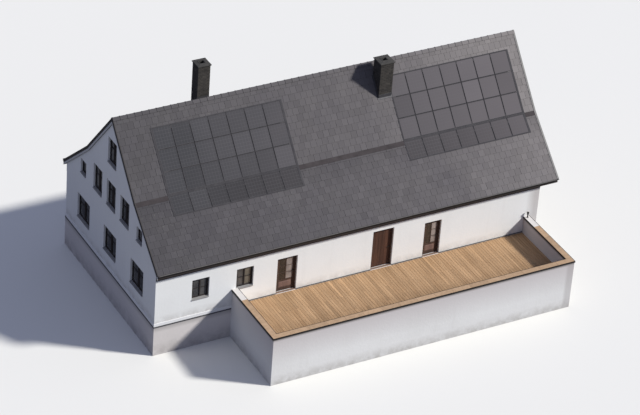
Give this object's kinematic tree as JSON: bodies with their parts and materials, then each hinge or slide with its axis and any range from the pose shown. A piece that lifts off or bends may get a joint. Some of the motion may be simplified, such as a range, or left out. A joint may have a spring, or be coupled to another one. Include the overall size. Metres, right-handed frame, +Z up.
{
  "type": "holiday cottage",
  "caption": "Long plastered cottage with a two-pitch slate-grey roof, masonry chimneys, gable windows and a parapet-walled timber terrace along the front.",
  "frame": {"origin": "middle of the overall footprint, at the level of the plinth's underside", "axes": "+X along the front to the right, +Y to the back, +Z up"},
  "size_m": [20.866, 14.2054, 11.4399],
  "materials": {
    "wall_plaster": "white lime plaster, floated",
    "plinth_render": "off-white render, weathered at the foot",
    "coping_stone": "honey-coloured sandstone",
    "concrete": "bare concrete",
    "floor_timber": "sawn boards",
    "roof_tile": "dark grey flat tiles",
    "verge_paint": "grey painted boards",
    "gutter_metal": "dark painted sheet steel",
    "solar_module": "dark glass in a thin black frame",
    "chimney_masonry": "near-black weathered masonry",
    "chimney_cap_stone": "dark stone slab",
    "brown_joinery": "dark brown stained timber",
    "window_glass": "clear double glazing",
    "dark_planks": "dark brown stained planks",
    "dark_iron": "black iron",
    "deck_timber": "honey-coloured terrace boards"
  },
  "bodies": {
    "house": {"attic_floor": "floor_timber", "back_wall": "wall_plaster", "back_window_frames": "brown_joinery", "back_window_glass": "window_glass", "chimney_caps": "chimney_cap_stone", "door_heads": "brown_joinery", "door_hinge_pins": "dark_iron", "door_jambs": "brown_joinery", "door_lintels": "wall_plaster", "eave_gutters": "gutter_metal", "front_wall_between_doors": "wall_plaster", "front_wall_left": "wall_plaster", "front_wall_middle": "wall_plaster", "front_wall_right": "wall_plaster", "front_window_frames": "brown_joinery", "front_window_glass": "window_glass", "gable_window_frames": "brown_joinery", "gable_window_glass": "window_glass", "ground_floor": "concrete", "left_chimney": "chimney_masonry", "left_gable_wall": "wall_plaster", "plinth_back": "plinth_render", "plinth_front": "plinth_render", "plinth_left": "plinth_render", "plinth_right": "plinth_render", "ridge_cap": "roof_tile", "right_chimney": "chimney_masonry", "right_gable_wall": "wall_plaster", "roof_back_lower": "roof_tile", "roof_back_upper": "roof_tile", "roof_front_lower": "roof_tile", "roof_front_upper": "roof_tile", "solar_array_left": "solar_module", "solar_array_right": "solar_module", "terrace_deck": "deck_timber", "terrace_front_coping": "coping_stone", "terrace_front_wall": "wall_plaster", "terrace_left_wall": "wall_plaster", "terrace_right_wall": "wall_plaster", "terrace_side_copings": "coping_stone", "terrace_slab": "concrete", "upper_attic_floor": "floor_timber", "verge_boards": "verge_paint"},
    "plank_door": {"plank_door": "dark_planks", "plank_door_handle": "dark_iron"},
    "left_terrace_door": {"left_terrace_door": "brown_joinery", "left_terrace_door_glass": "window_glass", "left_terrace_door_handle": "dark_iron"},
    "right_terrace_door": {"right_terrace_door": "brown_joinery", "right_terrace_door_glass": "window_glass", "right_terrace_door_handle": "dark_iron"}
  },
  "joints": [
    {"name": "plank_door_swing", "type": "hinge", "parent": "house", "child": "plank_door", "pos_m": [0.753, -2.7676, 1.74], "axis": [0, 0, 1], "range_deg": [0, 90]},
    {"name": "left_terrace_door_swing", "type": "hinge", "parent": "house", "child": "left_terrace_door", "pos_m": [-4.177, -2.7676, 1.74], "axis": [0, 0, 1], "range_deg": [0, 90]},
    {"name": "right_terrace_door_swing", "type": "hinge", "parent": "house", "child": "right_terrace_door", "pos_m": [3.503, -2.7676, 1.74], "axis": [0, 0, 1], "range_deg": [0, 90]}
  ]
}
